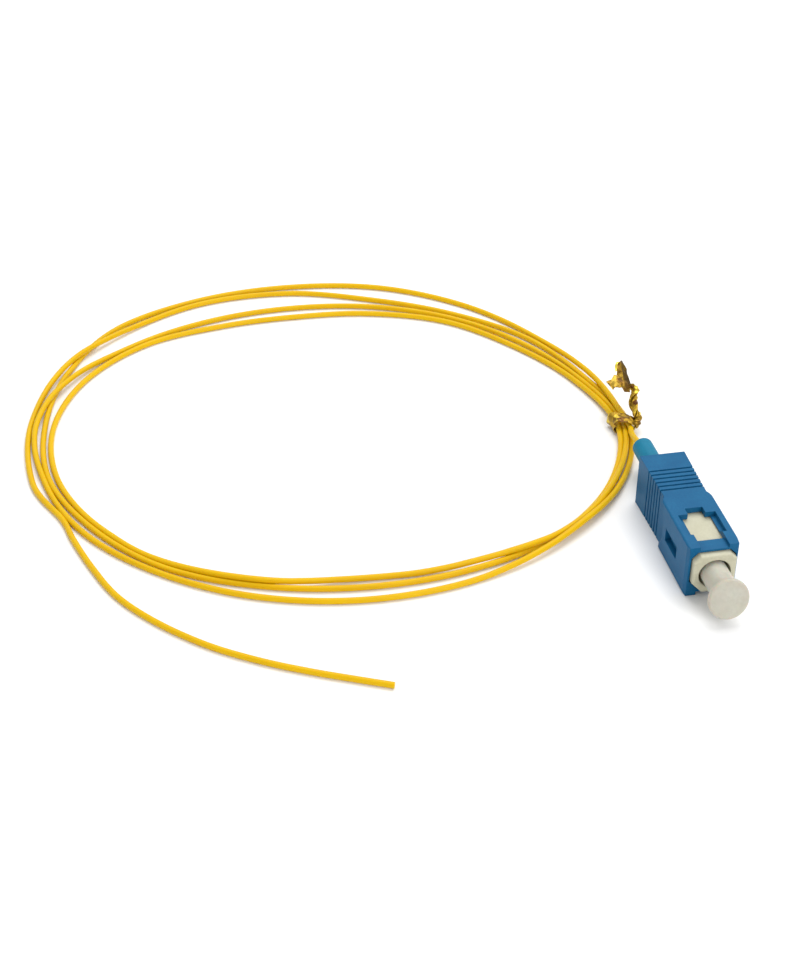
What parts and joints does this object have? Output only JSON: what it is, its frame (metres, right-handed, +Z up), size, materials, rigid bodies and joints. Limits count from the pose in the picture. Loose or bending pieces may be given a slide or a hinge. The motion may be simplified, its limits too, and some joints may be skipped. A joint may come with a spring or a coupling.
{
  "type": "fibre optic pigtail",
  "caption": "push-pull fibre plug with a windowed sleeve, sprung ferrule, dust cap and boot on a coiled, tied, tight-buffered fibre with a bare cut end",
  "frame": {"origin": "on the floor under the middle of the plug's outline, dust cap, housing with its key and boot", "axes": "+X towards the key, away from the coil; +Y along the plug, from the dust cap to the boot; +Z up, out of the windowed face that shows in the picture"},
  "size_m": [0.097, 0.109, 0.0082],
  "materials": {
    "blue_housing_plastic": "moulded PBT, faint satin",
    "ivory_frame_plastic": "moulded, satin",
    "zirconia": "ground and polished ceramic",
    "steel": "turned stainless steel",
    "spring_steel": "drawn spring wire",
    "nickel_plated_brass": "turned brass, nickel plated",
    "teal_boot_rubber": "moulded elastomer, matt",
    "clear_cap_plastic": "translucent soft moulding",
    "yellow_fibre_jacket": "extruded tight buffer",
    "gold_foil": "thin metallised film over a wire"
  },
  "bodies": {
    "plug": {"plug_frame": "ivory_frame_plastic", "rear_body": "nickel_plated_brass", "strain_relief_boot": "teal_boot_rubber", "fibre_lead": "yellow_fibre_jacket", "fibre_coil": "yellow_fibre_jacket", "fibre_tail": "yellow_fibre_jacket", "twist_tie": "gold_foil"},
    "sleeve": {"outer_housing": "blue_housing_plastic"},
    "ferrule_set": {"ferrule": "zirconia", "ferrule_holder": "steel", "ferrule_spring": "spring_steel"},
    "cap": {"dust_cap": "clear_cap_plastic"}
  },
  "joints": [
    {"name": "sleeve_slide", "type": "slide", "parent": "plug", "child": "sleeve", "axis": [0, 1, 0], "range_m": [0, 0.0018]},
    {"name": "ferrule_float", "type": "slide", "parent": "plug", "child": "ferrule_set", "axis": [0, 1, 0], "range_m": [0, 0.001], "stiffness_N_per_m": 2000, "deforming": ["ferrule_spring"]},
    {"name": "dust_cap_pull", "type": "slide", "parent": "ferrule_set", "child": "cap", "axis": [0, -1, 0], "range_m": [0, 0.009]}
  ]
}
